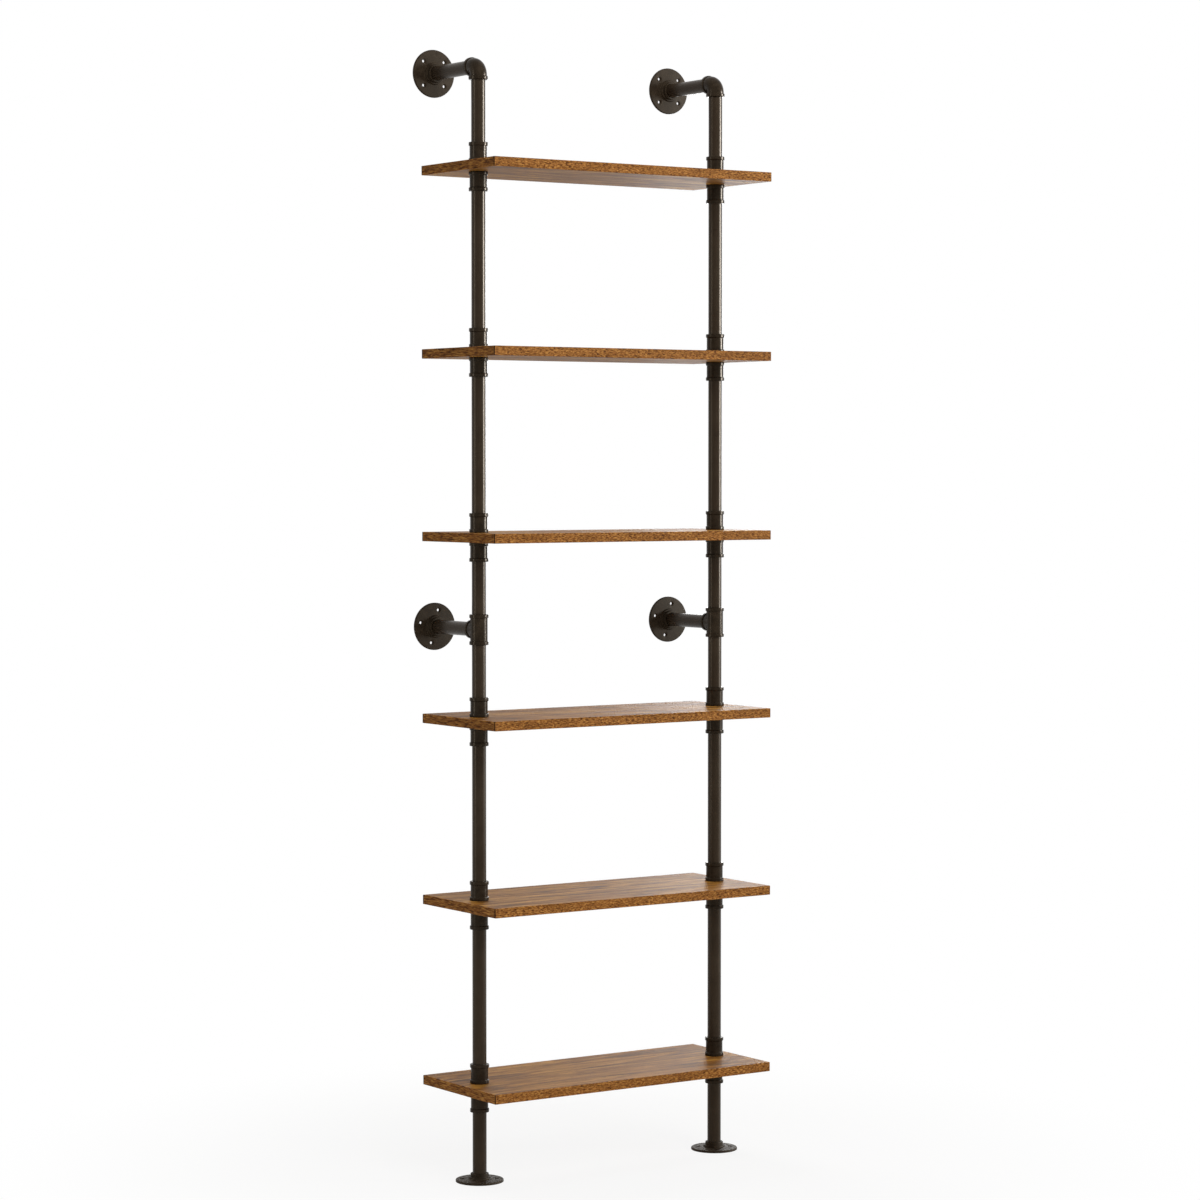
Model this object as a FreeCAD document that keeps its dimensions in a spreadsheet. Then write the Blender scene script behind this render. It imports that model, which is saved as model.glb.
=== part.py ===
import FreeCAD, Part
import os
import Sketcher

# Wall bookcase: six boards on two uprights of screwed pipe, held by round floor and wall flanges.
# Millimetres, +X along the boards, +Y to the wall, +Z up, origin on the floor under the box's centre.

SIZES = {
    # Boards, and where the uprights pass through them
    "board_length": 640,
    "board_depth": 260,
    "board_thickness": 18,
    "board_edge_round": 0.8,
    "board_hole_play": 1.2,
    "upright_inset": 44,
    "upright_setback": 126,
    # Heights, from the floor and from board to board
    "first_shelf_top": 188,
    "shelf_pitch": 349,
    "head_height": 180,
    # Pipe and its cut thread
    "pipe_outside": 26.7,
    "pipe_wall": 2.8,
    "thread_depth": 0.65,
    "thread_play": 0.3,
    "thread_reach": 11,
    "socket_spare": 1.5,
    "nipple_wall": 2.2,
    # Cast fittings, with a raised bead round every mouth
    "fitting_wall": 3.65,
    "bead_proud": 1.7,
    "bead_height": 7,
    "bead_round": 1.2,
    "coupling_length": 37,
    "tee_run": 58,
    "tee_neck": 9.5,
    "elbow_inner_corner": 1.0,
    "elbow_leg": 8.5,
    # Round flanges
    "flange_outside": 91.5,
    "flange_rim": 4.5,
    "flange_rise": 1.2,
    "flange_rim_round": 1.6,
    "hub_wall": 4.65,
    "hub_height": 16,
    "hub_step": 3.2,
    "hub_step_height": 9,
    "hub_round": 1.2,
    "bolt_circle": 65,
    "screw_hole": 5.5,
    "screw_sink": 10,
    "screw_sink_angle": 90,
    "floor_flange_turn": 60,
    "middle_flange_turn": 76,
    "upper_flange_turn": 45,
    # Wall plane, from the uprights' axes
    "wall_reach": 163,
}
SHELVES = 6
TEE_BAY_INDEX = 2
SCREWS = 4
SIDES = {"left": -1, "right": 1}

doc = FreeCAD.newDocument("wall_bookcase")
sheet = doc.addObject("Spreadsheet::Sheet", "Sizes")
for row, (name, value) in enumerate(SIZES.items(), start=1):
    sheet.set(f"A{row}", name)
    sheet.set(f"B{row}", str(value))
    sheet.setAlias(f"B{row}", name)
doc.recompute()

# Diameters that follow from the pipe
THREAD = "(Sizes.pipe_outside - 2 * Sizes.thread_depth)"
SOCKET = f"({THREAD} + Sizes.thread_play)"
PIPE_BORE = "(Sizes.pipe_outside - 2 * Sizes.pipe_wall)"
FITTING = f"({SOCKET} + 2 * Sizes.fitting_wall)"
BEAD = f"({FITTING} + 2 * Sizes.bead_proud)"
HUB = f"({SOCKET} + 2 * Sizes.hub_wall)"
HUB_FOOT = f"({HUB} + 2 * Sizes.hub_step)"

# Depths of the sockets and reaches of the bent and branched fittings, from their axes
SOCKET_DEPTH = "(Sizes.thread_reach + Sizes.socket_spare)"
ELBOW_BEND = f"({FITTING} / 2 + Sizes.elbow_inner_corner)"
ELBOW_REACH = f"({ELBOW_BEND} + Sizes.elbow_leg)"
TEE_REACH = f"({FITTING} / 2 + Sizes.tee_neck)"

# Places in the frame of the whole bookcase
UPRIGHT_X = "(Sizes.board_length / 2 - Sizes.upright_inset)"
UPRIGHT_Y = "((Sizes.upright_setback - Sizes.wall_reach) / 2)"
WALL_Y = f"({UPRIGHT_Y} + Sizes.wall_reach)"


def shelf_top(index):
    return f"(Sizes.first_shelf_top + {index} * Sizes.shelf_pitch)"


def shelf_underside(index):
    return f"({shelf_top(index)} - Sizes.board_thickness)"


TEE_Z = f"(({shelf_top(TEE_BAY_INDEX)} + {shelf_underside(TEE_BAY_INDEX + 1)}) / 2)"
ELBOW_Z = f"({shelf_top(SHELVES - 1)} + Sizes.head_height)"

X_AXIS = FreeCAD.Vector(1, 0, 0)
Z_AXIS = FreeCAD.Vector(0, 0, 1)
NO_TURN = FreeCAD.Rotation()
TO_WALL = FreeCAD.Rotation(X_AXIS, -90)
TO_ROOM = FreeCAD.Rotation(X_AXIS, 90)
UPSIDE_DOWN = FreeCAD.Rotation(X_AXIS, 180)

sub_parts = []


def value_of(expression):
    return float(sheet.evalExpression(expression))


def origin_plane(body, role):
    return next(feature for feature in body.Origin.OriginFeatures if feature.Role == role)


def place(thing, x="0", y="0", z="0", turn=NO_TURN):
    thing.Placement = FreeCAD.Placement(FreeCAD.Vector(), turn)
    for axis, expression in zip("xyz", (x, y, z)):
        thing.setExpression(f"Placement.Base.{axis}", expression)
    return thing


def keep(thing, label):
    thing.Label = label
    sub_parts.append(thing)
    return thing


def fix_point(sketch, line, name, across, up):
    """Ties the first point of a sketch line to two expressions, or to an axis where one is zero."""
    for kind, axis, expression in (("DistanceX", -2, across), ("DistanceY", -1, up)):
        if expression == "0":
            sketch.addConstraint(Sketcher.Constraint("PointOnObject", line, 1, axis))
            continue
        index = sketch.addConstraint(Sketcher.Constraint(kind, -1, 1, line, 1, value_of(expression)))
        sketch.renameConstraint(index, f"{name}_{kind}")
        sketch.setExpression(f"Constraints.{name}_{kind}", expression)


def outline_sketch(body, role, points):
    """A closed outline of straight lines, with every corner tied to its two expressions."""
    sketch = body.newObject("Sketcher::SketchObject", "outline")
    sketch.AttachmentSupport = [(origin_plane(body, role), "")]
    sketch.MapMode = "FlatFace"
    corners = [FreeCAD.Vector(value_of(across), value_of(up), 0) for across, up in points]
    for index, corner in enumerate(corners):
        sketch.addGeometry(Part.LineSegment(corner, corners[(index + 1) % len(corners)]))
    for index in range(len(corners)):
        sketch.addConstraint(Sketcher.Constraint("Coincident", index, 2, (index + 1) % len(corners), 1))
    for index, (across, up) in enumerate(points):
        fix_point(sketch, index, f"corner{index}", across, up)
    return sketch


def turned_body(name, points):
    """A solid of revolution about local Z, from (radius, height) corners."""
    body = doc.addObject("PartDesign::Body", name)
    sketch = outline_sketch(body, "XZ_Plane", points)
    turned = body.newObject("PartDesign::Revolution", "turned")
    turned.Profile = sketch
    turned.ReferenceAxis = (sketch, ["V_Axis"])
    turned.Angle = 360
    return body


def round_edges(body, circles, radius):
    """Rounds the circular edges of a turned body that have these (radius, height) expressions."""
    doc.recompute()
    base = body.Tip
    wanted = [(value_of(across), value_of(up)) for across, up in circles]
    names = []
    for number, edge in enumerate(base.Shape.Edges, start=1):
        if not isinstance(edge.Curve, Part.Circle):
            continue
        found = (edge.Curve.Radius, edge.Curve.Center.z)
        if any(abs(found[0] - across) < 1e-4 and abs(found[1] - up) < 1e-4 for across, up in wanted):
            names.append(f"Edge{number}")
    rounding = body.newObject("PartDesign::Fillet", "rounding")
    rounding.Base = (base, names)
    rounding.setExpression("Radius", radius)
    return body


def pipe(label, length, **where):
    """A pipe with a cut thread on both ends. Its visible length lies between two shoulders."""
    shoulder = "Sizes.thread_reach"
    far_shoulder = f"({length} + Sizes.thread_reach)"
    end = f"({length} + 2 * Sizes.thread_reach)"
    body = turned_body(label, [
        (f"{PIPE_BORE} / 2", "0"),
        (f"{THREAD} / 2", "0"),
        (f"{THREAD} / 2", shoulder),
        ("Sizes.pipe_outside / 2", shoulder),
        ("Sizes.pipe_outside / 2", far_shoulder),
        (f"{THREAD} / 2", far_shoulder),
        (f"{THREAD} / 2", end),
        (f"{PIPE_BORE} / 2", end),
    ])
    return keep(place(body, **where), label)


def upright_pipe(label, side, low, high):
    """An upright pipe between two mouths, with its threads inside them."""
    pipe(label, f"({high} - {low})", x=f"{side} * {UPRIGHT_X}", y=UPRIGHT_Y,
         z=f"{low} - Sizes.thread_reach")


def bead_edges(*heights):
    return [(f"{BEAD} / 2", height) for height in heights]


def coupling(name, **where):
    """A straight coupling with a bead round both mouths."""
    length = "Sizes.coupling_length"
    low_bead = "Sizes.bead_height"
    high_bead = "(Sizes.coupling_length - Sizes.bead_height)"
    body = turned_body(name, [
        (f"{SOCKET} / 2", "0"),
        (f"{BEAD} / 2", "0"),
        (f"{BEAD} / 2", low_bead),
        (f"{FITTING} / 2", low_bead),
        (f"{FITTING} / 2", high_bead),
        (f"{BEAD} / 2", high_bead),
        (f"{BEAD} / 2", length),
        (f"{SOCKET} / 2", length),
    ])
    round_edges(body, bead_edges("0", low_bead, high_bead, length), "Sizes.bead_round")
    return place(body, **where)


def nipple(name, index, side):
    """A threaded nipple through a board, reaching into the coupling on each face."""
    outside = f"{THREAD} / 2"
    inside = f"({THREAD} / 2 - Sizes.nipple_wall)"
    length = "(Sizes.board_thickness + 2 * Sizes.thread_reach)"
    body = turned_body(name, [(inside, "0"), (outside, "0"), (outside, length), (inside, length)])
    return place(body, x=f"{side} * {UPRIGHT_X}", y=UPRIGHT_Y,
                 z=f"{shelf_underside(index)} - Sizes.thread_reach")


def cylinder(name, diameter, length, **where):
    rod = doc.addObject("Part::Cylinder", name)
    rod.setExpression("Radius", f"{diameter} / 2")
    rod.setExpression("Height", length)
    return place(rod, **where)


def quarter_bend(name, bend, diameter):
    """A quarter ring in the YZ plane that leads from straight down round to the wall."""
    ring = doc.addObject("Part::Torus", name)
    ring.setExpression("Radius1", bend)
    ring.setExpression("Radius2", f"{diameter} / 2")
    ring.Angle3 = 90
    to_front = FreeCAD.Vector(0, -1, 0)
    turn = FreeCAD.Rotation(to_front, Z_AXIS, -X_AXIS, "XYZ")
    return place(ring, y=bend, z=f"-{bend}", turn=turn)


def sleeve(name, length, **where):
    """A solid stub of a fitting that ends in a bead at its mouth."""
    bead_start = f"({length} - Sizes.bead_height)"
    body = turned_body(name, [
        ("0", "0"),
        (f"{FITTING} / 2", "0"),
        (f"{FITTING} / 2", bead_start),
        (f"{BEAD} / 2", bead_start),
        (f"{BEAD} / 2", length),
        ("0", length),
    ])
    round_edges(body, bead_edges(bead_start, length), "Sizes.bead_round")
    return place(body, **where)


def hollowed(label, solids, hollows, **where):
    """One casting: the joined solids with the joined hollows cut out."""
    casting = doc.addObject("Part::MultiFuse", f"{label}_solid")
    casting.Shapes = solids
    cavity = doc.addObject("Part::MultiFuse", f"{label}_cavity")
    cavity.Shapes = hollows
    part = doc.addObject("Part::Cut", label)
    part.Base = casting
    part.Tool = cavity
    return keep(place(part, **where), label)


def elbow(label, side):
    """A quarter elbow from the top of an upright back to the wall."""
    mouth = f"-{ELBOW_REACH}"
    solids = [
        quarter_bend(f"{label}_bend", ELBOW_BEND, FITTING),
        sleeve(f"{label}_foot", "Sizes.elbow_leg", z=f"-{ELBOW_BEND}", turn=UPSIDE_DOWN),
        sleeve(f"{label}_back", "Sizes.elbow_leg", y=ELBOW_BEND, turn=TO_WALL),
    ]
    hollows = [
        quarter_bend(f"{label}_way", ELBOW_BEND, PIPE_BORE),
        cylinder(f"{label}_foot_way", PIPE_BORE, "Sizes.elbow_leg", z=mouth),
        cylinder(f"{label}_back_way", PIPE_BORE, "Sizes.elbow_leg", y=ELBOW_BEND, turn=TO_WALL),
        cylinder(f"{label}_foot_socket", SOCKET, SOCKET_DEPTH, z=mouth),
        cylinder(f"{label}_back_socket", SOCKET, SOCKET_DEPTH, y=ELBOW_REACH, turn=TO_ROOM),
    ]
    hollowed(label, solids, hollows, x=f"{side} * {UPRIGHT_X}", y=UPRIGHT_Y, z=ELBOW_Z)


def tee(label, side):
    """A tee in the middle of an upright, with its branch towards the wall."""
    half_run = "(Sizes.tee_run / 2)"
    solids = [
        sleeve(f"{label}_up", half_run),
        sleeve(f"{label}_down", half_run, turn=UPSIDE_DOWN),
        sleeve(f"{label}_branch", TEE_REACH, turn=TO_WALL),
    ]
    hollows = [
        cylinder(f"{label}_run_way", PIPE_BORE, "Sizes.tee_run", z=f"-{half_run}"),
        cylinder(f"{label}_branch_way", PIPE_BORE, TEE_REACH, turn=TO_WALL),
        cylinder(f"{label}_up_socket", SOCKET, SOCKET_DEPTH, z=f"{half_run} - {SOCKET_DEPTH}"),
        cylinder(f"{label}_down_socket", SOCKET, SOCKET_DEPTH, z=f"-{half_run}"),
        cylinder(f"{label}_branch_socket", SOCKET, SOCKET_DEPTH, y=TEE_REACH, turn=TO_ROOM),
    ]
    hollowed(label, solids, hollows, x=f"{side} * {UPRIGHT_X}", y=UPRIGHT_Y, z=TEE_Z)


def flange(label, hole_turn, **where):
    """A round flange with a stepped, threaded hub and a ring of countersunk screw holes."""
    crown = "(Sizes.flange_rim + Sizes.flange_rise)"
    rim = "Sizes.flange_outside / 2"
    foot = f"{HUB_FOOT} / 2"
    hub = f"{HUB} / 2"
    body = turned_body(label, [
        (f"{SOCKET} / 2", "0"),
        (rim, "0"),
        (rim, "Sizes.flange_rim"),
        (foot, crown),
        (foot, "Sizes.hub_step_height"),
        (hub, "Sizes.hub_step_height"),
        (hub, "Sizes.hub_height"),
        (f"{SOCKET} / 2", "Sizes.hub_height"),
    ])
    round_edges(body, [(rim, "Sizes.flange_rim")], "Sizes.flange_rim_round")
    hub_edges = [(foot, crown), (foot, "Sizes.hub_step_height"), (hub, "Sizes.hub_step_height"),
                 (hub, "Sizes.hub_height")]
    round_edges(body, hub_edges, "Sizes.hub_round")
    screw_holes(body, hole_turn, crown)
    return keep(place(body, **where), label)


def screw_holes(body, hole_turn, height):
    """Countersunk holes on the bolt circle, drilled from the hub's side through to the back."""
    doc.recompute()
    sketch = body.newObject("Sketcher::SketchObject", "screw_place")
    sketch.AttachmentSupport = [(origin_plane(body, "XY_Plane"), "")]
    sketch.MapMode = "FlatFace"
    sketch.setExpression("AttachmentOffset.Base.z", height)
    across = f"Sizes.bolt_circle / 2 * cos(Sizes.{hole_turn} * 1 deg)"
    up = f"Sizes.bolt_circle / 2 * sin(Sizes.{hole_turn} * 1 deg)"
    centre = FreeCAD.Vector(value_of(across), value_of(up), 0)
    circle = sketch.addGeometry(Part.Circle(centre, Z_AXIS, value_of("Sizes.screw_hole / 2")))
    for kind, expression in (("DistanceX", across), ("DistanceY", up)):
        index = sketch.addConstraint(Sketcher.Constraint(kind, -1, 1, circle, 3, value_of(expression)))
        sketch.renameConstraint(index, f"screw_{kind}")
        sketch.setExpression(f"Constraints.screw_{kind}", expression)
    index = sketch.addConstraint(Sketcher.Constraint("Diameter", circle, value_of("Sizes.screw_hole")))
    sketch.renameConstraint(index, "screw_hole")
    sketch.setExpression("Constraints.screw_hole", "Sizes.screw_hole")
    doc.recompute()
    hole = body.newObject("PartDesign::Hole", "screw_hole")
    hole.Profile = sketch
    hole.DepthType = "ThroughAll"
    hole.HoleCutType = "Countersink"
    hole.setExpression("HoleCutCountersinkAngle", "Sizes.screw_sink_angle")
    hole.setExpression("Diameter", "Sizes.screw_hole")
    hole.setExpression("HoleCutDiameter", "Sizes.screw_sink")
    ring = body.newObject("PartDesign::PolarPattern", "screw_ring")
    ring.Originals = [hole]
    ring.Axis = (sketch, ["N_Axis"])
    ring.Angle = 360
    ring.Occurrences = SCREWS
    body.Tip = ring


def board(label, index):
    """A board with one hole for each upright and lightly eased edges."""
    half_length = "Sizes.board_length / 2"
    front = "-Sizes.upright_setback"
    back = "(Sizes.board_depth - Sizes.upright_setback)"
    body = doc.addObject("PartDesign::Body", label)
    sketch = outline_sketch(body, "XY_Plane", [
        (f"-{half_length}", front), (half_length, front), (half_length, back), (f"-{half_length}", back),
    ])
    slab = body.newObject("PartDesign::Pad", "slab")
    slab.Profile = sketch
    slab.setExpression("Length", "Sizes.board_thickness")
    doc.recompute()
    rounding = body.newObject("PartDesign::Fillet", "eased_edges")
    rounding.Base = (slab, [f"Edge{number}" for number in range(1, len(slab.Shape.Edges) + 1)])
    rounding.setExpression("Radius", "Sizes.board_edge_round")
    doc.recompute()
    holes = body.newObject("Sketcher::SketchObject", "pipe_holes")
    holes.AttachmentSupport = [(origin_plane(body, "XY_Plane"), "")]
    holes.MapMode = "FlatFace"
    hole_width = f"({THREAD} + Sizes.board_hole_play)"
    for name, side in SIDES.items():
        centre = FreeCAD.Vector(side * value_of(UPRIGHT_X), 0, 0)
        circle = holes.addGeometry(Part.Circle(centre, Z_AXIS, value_of(f"{hole_width} / 2")))
        holes.addConstraint(Sketcher.Constraint("PointOnObject", circle, 3, -1))
        place_x = holes.addConstraint(Sketcher.Constraint("DistanceX", -1, 1, circle, 3, centre.x))
        width = holes.addConstraint(Sketcher.Constraint("Diameter", circle, value_of(hole_width)))
        holes.renameConstraint(place_x, f"{name}_place")
        holes.renameConstraint(width, f"{name}_width")
        holes.setExpression(f"Constraints.{name}_place", f"{side} * {UPRIGHT_X}")
        holes.setExpression(f"Constraints.{name}_width", hole_width)
    cut = body.newObject("PartDesign::Pocket", "pipe_passages")
    cut.Profile = holes
    cut.Type = "ThroughAll"
    cut.Reversed = True
    return keep(place(body, y=UPRIGHT_Y, z=shelf_underside(index)), label)


def group(label, things):
    """Like solids under one label."""
    together = doc.addObject("Part::Compound", label)
    together.Links = things
    return keep(together, label)


# Boards, from the lowest to the highest
for index in range(SHELVES):
    board(f"shelf_board_{index + 1}", index)

# Couplings that clamp each board, and the nipples between them
for index in range(SHELVES):
    number = index + 1
    for name, side in SIDES.items():
        x = f"{side} * {UPRIGHT_X}"
        group(f"couplings_{number}_{name}", [
            coupling(f"coupling_{number}_{name}_above", x=x, y=UPRIGHT_Y, z=shelf_top(index)),
            coupling(f"coupling_{number}_{name}_below", x=x, y=UPRIGHT_Y,
                     z=f"{shelf_underside(index)} - Sizes.coupling_length"),
        ])
    group(f"board_nipples_{number}", [
        nipple(f"board_nipple_{number}_{name}", index, side) for name, side in SIDES.items()
    ])


def above_coupling(index):
    return f"({shelf_top(index)} + Sizes.coupling_length)"


def below_coupling(index):
    return f"({shelf_underside(index)} - Sizes.coupling_length)"


# Uprights, fittings and wall arms, side by side
for name, side in SIDES.items():
    flange(f"floor_flange_{name}", "floor_flange_turn", x=f"{side} * {UPRIGHT_X}", y=UPRIGHT_Y)
    upright_pipe(f"foot_pipe_{name}", side, "Sizes.hub_height", below_coupling(0))
    for index in range(SHELVES - 1):
        low = above_coupling(index)
        high = below_coupling(index + 1)
        if index == TEE_BAY_INDEX:
            upright_pipe(f"bay_pipe_{index + 1}_lower_{name}", side, low, f"({TEE_Z} - Sizes.tee_run / 2)")
            upright_pipe(f"bay_pipe_{index + 1}_upper_{name}", side, f"({TEE_Z} + Sizes.tee_run / 2)", high)
        else:
            upright_pipe(f"bay_pipe_{index + 1}_{name}", side, low, high)
    upright_pipe(f"head_pipe_{name}", side, above_coupling(SHELVES - 1), f"({ELBOW_Z} - {ELBOW_REACH})")
    tee(f"tee_{name}", side)
    elbow(f"elbow_{name}", side)
    for level, reach, height, hole_turn in (("middle", TEE_REACH, TEE_Z, "middle_flange_turn"),
                                            ("upper", ELBOW_REACH, ELBOW_Z, "upper_flange_turn")):
        length = f"(Sizes.wall_reach - {reach} - Sizes.hub_height)"
        pipe(f"wall_arm_{level}_{name}", length, x=f"{side} * {UPRIGHT_X}",
             y=f"{UPRIGHT_Y} + {reach} - Sizes.thread_reach", z=height, turn=TO_WALL)
        flange(f"wall_flange_{level}_{name}", hole_turn, x=f"{side} * {UPRIGHT_X}", y=WALL_Y,
               z=height, turn=TO_ROOM)

doc.recompute()
for thing in doc.Objects:
    if "Invalid" in thing.State or "Error" in thing.State:
        raise RuntimeError(f"{thing.Label} failed: {thing.State}")
for thing in sub_parts:
    if thing.Shape.isNull() or not thing.Shape.isValid():
        raise RuntimeError(f"{thing.Label} has no valid shape")

os.makedirs("parts", exist_ok=True)
for thing in sub_parts:
    thing.Shape.exportStep(f"parts/{thing.Label}.step")
    print(thing.Label, len(thing.Shape.Solids), round(thing.Shape.Volume, 1))
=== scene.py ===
import bmesh
import bpy
import math
from mathutils import Matrix, Vector


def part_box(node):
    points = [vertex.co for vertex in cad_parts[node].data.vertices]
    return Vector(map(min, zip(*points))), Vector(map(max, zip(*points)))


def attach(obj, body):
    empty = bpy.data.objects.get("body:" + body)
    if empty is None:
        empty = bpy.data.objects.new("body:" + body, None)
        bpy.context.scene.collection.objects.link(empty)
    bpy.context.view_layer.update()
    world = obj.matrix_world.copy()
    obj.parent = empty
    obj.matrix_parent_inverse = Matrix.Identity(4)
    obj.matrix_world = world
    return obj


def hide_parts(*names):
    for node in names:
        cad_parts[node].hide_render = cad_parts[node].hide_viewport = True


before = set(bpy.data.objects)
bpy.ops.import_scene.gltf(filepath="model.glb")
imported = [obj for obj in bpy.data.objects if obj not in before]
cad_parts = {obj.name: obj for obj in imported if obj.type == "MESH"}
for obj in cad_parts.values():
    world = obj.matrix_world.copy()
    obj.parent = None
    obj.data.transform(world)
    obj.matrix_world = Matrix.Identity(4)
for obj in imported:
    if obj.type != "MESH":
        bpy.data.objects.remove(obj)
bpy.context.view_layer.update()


# Floor flanges: the bookcase's two round feet, each a cast-iron disc with a stepped hub.
# They are sand cast, faced flat below, threaded for the foot pipe, drilled and countersunk for four
# screws, and sprayed brown-black like the rest of the pipework.
MM = 0.001
SIDES = ("left", "right")
flange_low, flange_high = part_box("floor_flange_left")
FLANGE_RADIUS = (flange_high.x - flange_low.x) / 2
FLANGE_HEIGHT = flange_high.z - flange_low.z
RIM_HEIGHT = 4.5 * MM
CROWN_HEIGHT = 5.7 * MM
HUB_FOOT_RADIUS = 20.7 * MM
HUB_FOOT_TOP = 9.0 * MM
HUB_RADIUS = 17.5 * MM
RIM_ROUND = 1.6 * MM
BASE_ROUND = 0.5 * MM
CROWN_FILLET = 1.6 * MM
HUB_FOOT_ROUND = 1.2 * MM
HUB_FILLET = 0.9 * MM
HUB_ROUND = 1.2 * MM
SCREW_COUNT = 4
SCREW_CIRCLE_RADIUS = 32.5 * MM
SCREW_HOLE_RADIUS = 2.75 * MM
SCREW_SINK_RADIUS = 5.0 * MM
SCREW_SINK_TOP = 5.13 * MM
DRILL_BELOW = 1 * MM
DRILL_ABOVE = 1.5 * MM
FLOOR_SCREW_TURN = math.radians(60)
SOCKET_RADIUS = 12.85 * MM
SOCKET_ROOT_RADIUS = 13.35 * MM
MOUTH_RADIUS = 14.1 * MM
MOUTH_DEPTH = 1.3 * MM
THREAD_PITCH = 1.814 * MM
FLANGE_THREAD_END = 0.6 * MM
FACETS = 64
FLANGE_FACETS = 72
DRILL_FACETS = 32
ROUND_STEPS = 3
MERGE_DISTANCE = 0.01 * MM
RING_TOLERANCE = 0.02 * MM
SMOOTH_ANGLE = math.radians(32)
LARGE_FACE_WEIGHT = 100
PAINT_BROWN = "#342b21"
PAINT_HOLLOW = "#241c14"
PAINT_SHEEN = "#ffebcd"
CAST_PEBBLE = 2.4 * MM
CAST_MOTTLE = 14 * MM
CAST_SKIN = {"Strength": 0.1, "Distance": 0.35 * MM}
CAST_SPECULAR = 0.11
FLANGE_ROUGHNESS = (0.5, 0.62)
NOISE_SPAN = {"From Min": 0.3, "From Max": 0.7}


def begin(name, add_primitive, **settings):
    """Adds a primitive with nothing else selected and opens it in edit mode."""
    bpy.ops.object.select_all(action="DESELECT")
    add_primitive(**settings)
    piece = bpy.context.object
    piece.name = name
    piece.data.name = name
    bpy.ops.object.mode_set(mode="EDIT")
    return piece


def mend():
    """Merges doubled points all over the piece in edit mode, and turns every face outwards."""
    bpy.ops.mesh.select_all(action="SELECT")
    bpy.ops.mesh.remove_doubles(threshold=MERGE_DISTANCE)
    bpy.ops.mesh.normals_make_consistent(inside=False)


def end(piece):
    """Mends a piece, leaves edit mode and smooths all but the sharp corners.

    The large faces set the shading at their rounded edges, so flat ones look flat right up to the rounding.
    """
    mend()
    bpy.ops.object.mode_set(mode="OBJECT")
    bpy.ops.object.shade_smooth_by_angle(angle=SMOOTH_ANGLE)
    modifier = piece.modifiers.new("flat faces", "WEIGHTED_NORMAL")
    modifier.keep_sharp = True
    modifier.weight = LARGE_FACE_WEIGHT
    bpy.ops.object.modifier_apply(modifier=modifier.name)
    return piece


def choose_edges(piece, test):
    """Selects just the edges whose two ends both pass the test."""
    bpy.ops.mesh.select_all(action="DESELECT")
    bpy.ops.mesh.select_mode(type="EDGE")
    mesh = bmesh.from_edit_mesh(piece.data)
    for edge in mesh.edges:
        edge.select_set(all(test(corner.co) for corner in edge.verts))
    bmesh.update_edit_mesh(piece.data)


def turned(name, rings, rounds=(), solid=False, around=FACETS):
    """A piece turned about Z: a circle drawn on from ring to ring, each a (radius, height).

    A hollow piece comes back to its first ring. Each round is (radius, height, width of the rounding).
    """
    radius, height = rings[0]
    piece = begin(name, bpy.ops.mesh.primitive_circle_add, vertices=around, radius=radius,
                  fill_type="NGON" if solid else "NOTHING", location=(0, 0, 0))
    bpy.ops.transform.translate(value=(0, 0, height))
    for next_radius, next_height in rings[1:] + ([] if solid else rings[:1]):
        bpy.ops.mesh.extrude_region_move(TRANSFORM_OT_translate={"value": (0, 0, next_height - height)})
        grow = next_radius / radius
        bpy.ops.transform.resize(value=(grow, grow, 1), center_override=(0, 0, next_height))
        radius, height = next_radius, next_height
    mend()
    for ring_radius, ring_height, width in rounds:
        choose_edges(piece, lambda co: abs(co.xy.length - ring_radius) < RING_TOLERANCE
                     and abs(co.z - ring_height) < RING_TOLERANCE)
        bpy.ops.mesh.bevel(offset=width, segments=ROUND_STEPS, affect="EDGES")
    return end(piece)


def thread(first_radius, second_radius, start, finish):
    """The rings of a screw thread from one height to another, at the one radius and the other by turns."""
    turns = int(abs(finish - start) / THREAD_PITCH)
    step = math.copysign(THREAD_PITCH / 2, finish - start)
    return [(second_radius if half % 2 else first_radius, start + half * step)
            for half in range(2 * turns + 1)]


def combine(piece, tool, operation):
    """Cuts the tool out of a piece or joins it on, for good, and takes the tool away."""
    modifier = piece.modifiers.new("combine", "BOOLEAN")
    modifier.object = tool
    modifier.operation = operation
    modifier.material_mode = "TRANSFER"
    bpy.ops.object.select_all(action="DESELECT")
    bpy.context.view_layer.objects.active = piece
    piece.select_set(True)
    bpy.ops.object.modifier_apply(modifier=modifier.name)
    bpy.data.objects.remove(tool)
    bpy.ops.object.mode_set(mode="EDIT")
    return end(piece)


def on_axis(low, high, height):
    """The point at a height on the upright line through the middle of a box."""
    return Vector(((low.x + high.x) / 2, (low.y + high.y) / 2, height))


def place(pattern, name, matrix, node):
    """Copies a modelled piece, with a mesh of its own, to where the frame has its node."""
    piece = bpy.data.objects.new(name, pattern.data.copy())
    piece.data.name = name
    piece.data.transform(matrix)
    bpy.context.collection.objects.link(piece)
    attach(piece, "root")
    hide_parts(node)
    return piece


def linear(hex_colour):
    """An sRGB hex colour as the linear values that a shader takes."""
    channels = [int(hex_colour[at:at + 2], 16) / 255 for at in (1, 3, 5)]
    return [c / 12.92 if c <= 0.04045 else ((c + 0.055) / 1.055) ** 2.4 for c in channels] + [1]


def new_finish(name):
    """A named material with no nodes yet."""
    finish = bpy.data.materials.new(name)
    finish.use_nodes = True
    finish.node_tree.nodes.clear()
    return finish


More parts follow.
